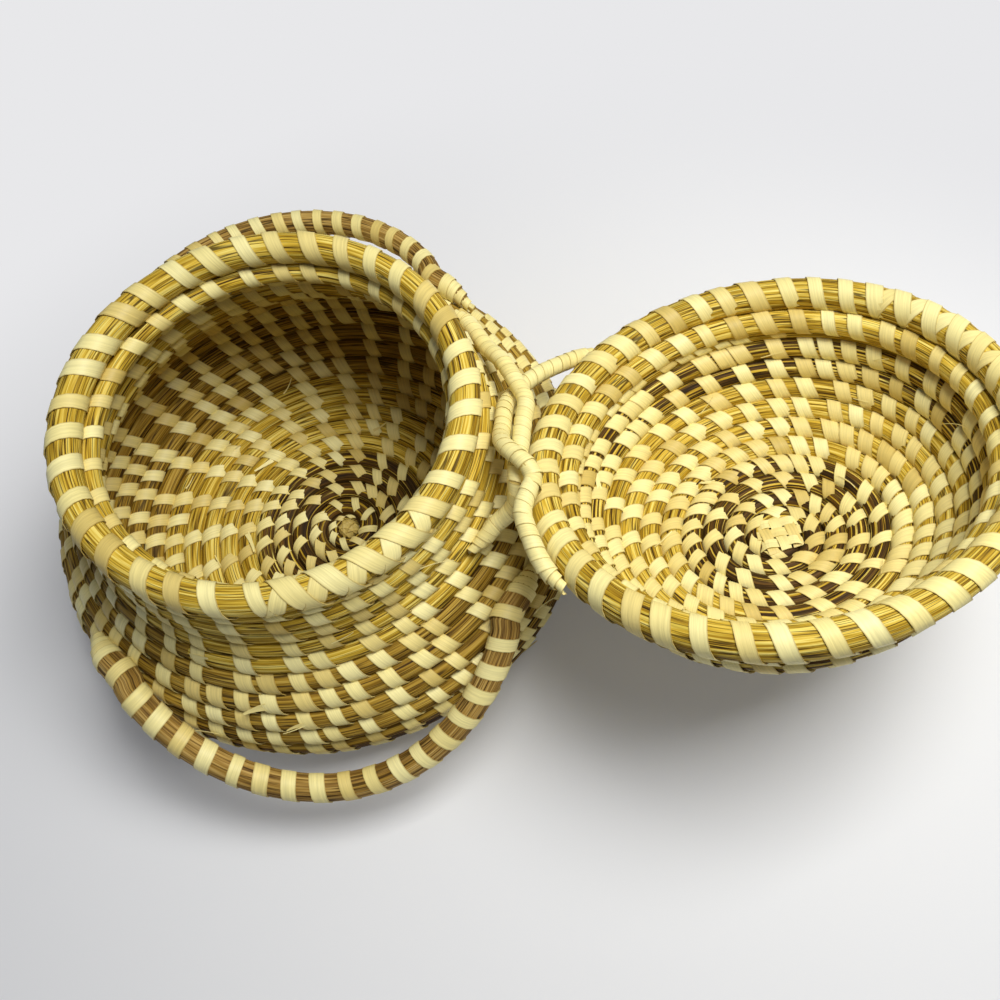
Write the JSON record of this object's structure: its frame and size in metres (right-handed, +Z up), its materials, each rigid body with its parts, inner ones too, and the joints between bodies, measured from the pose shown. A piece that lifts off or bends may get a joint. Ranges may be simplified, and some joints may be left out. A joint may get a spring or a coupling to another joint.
{
  "type": "lidded coiled basket",
  "caption": "Coiled sweetgrass basket with a full belly, a narrower neck, side handles and a domed lid hung on linked loops.",
  "frame": {"origin": "middle of the base, on the floor", "axes": "+Z up the basket's axis, +X from the basket to the hinge and the open lid"},
  "size_m": [0.3953, 0.2632, 0.1353],
  "materials": {
    "sweetgrass": "matt",
    "dyed_grass": "matt",
    "palmetto": "satin"
  },
  "bodies": {
    "basket": {"base_start_knot": "palmetto", "base_centre_coil": "dyed_grass", "base_floor_coil": "sweetgrass", "lower_wall_coil": "dyed_grass", "belly_coil": "sweetgrass", "neck_coil": "sweetgrass", "mouth_ledge_coil": "sweetgrass", "rim_coil": "sweetgrass", "rim_cross_binding": "palmetto", "front_handle": "sweetgrass", "front_handle_left_lashing": "palmetto", "front_handle_right_lashing": "palmetto", "back_handle": "sweetgrass", "back_handle_left_lashing": "palmetto", "back_handle_right_lashing": "palmetto", "basket_hinge_loop": "palmetto", "basket_hinge_loop_front_lashing": "palmetto", "basket_hinge_loop_back_lashing": "palmetto"},
    "lid": {"lid_start_knot": "palmetto", "lid_centre_coil": "dyed_grass", "lid_crown_coil": "sweetgrass", "lid_band_coil": "dyed_grass", "lid_edge_coil": "sweetgrass", "lid_seat_coil": "sweetgrass", "lid_rim_coil": "sweetgrass", "lid_rim_cross_binding": "palmetto", "lid_hinge_loop": "palmetto", "lid_hinge_loop_front_lashing": "palmetto", "lid_hinge_loop_back_lashing": "palmetto"}
  },
  "joints": [
    {"name": "lid_hinge", "type": "hinge", "parent": "basket", "child": "lid", "pos_m": [0.09411, 0, 0.09871], "axis": [0, -0.99, 0.1409], "range_deg": [0, 170.8]}
  ]
}
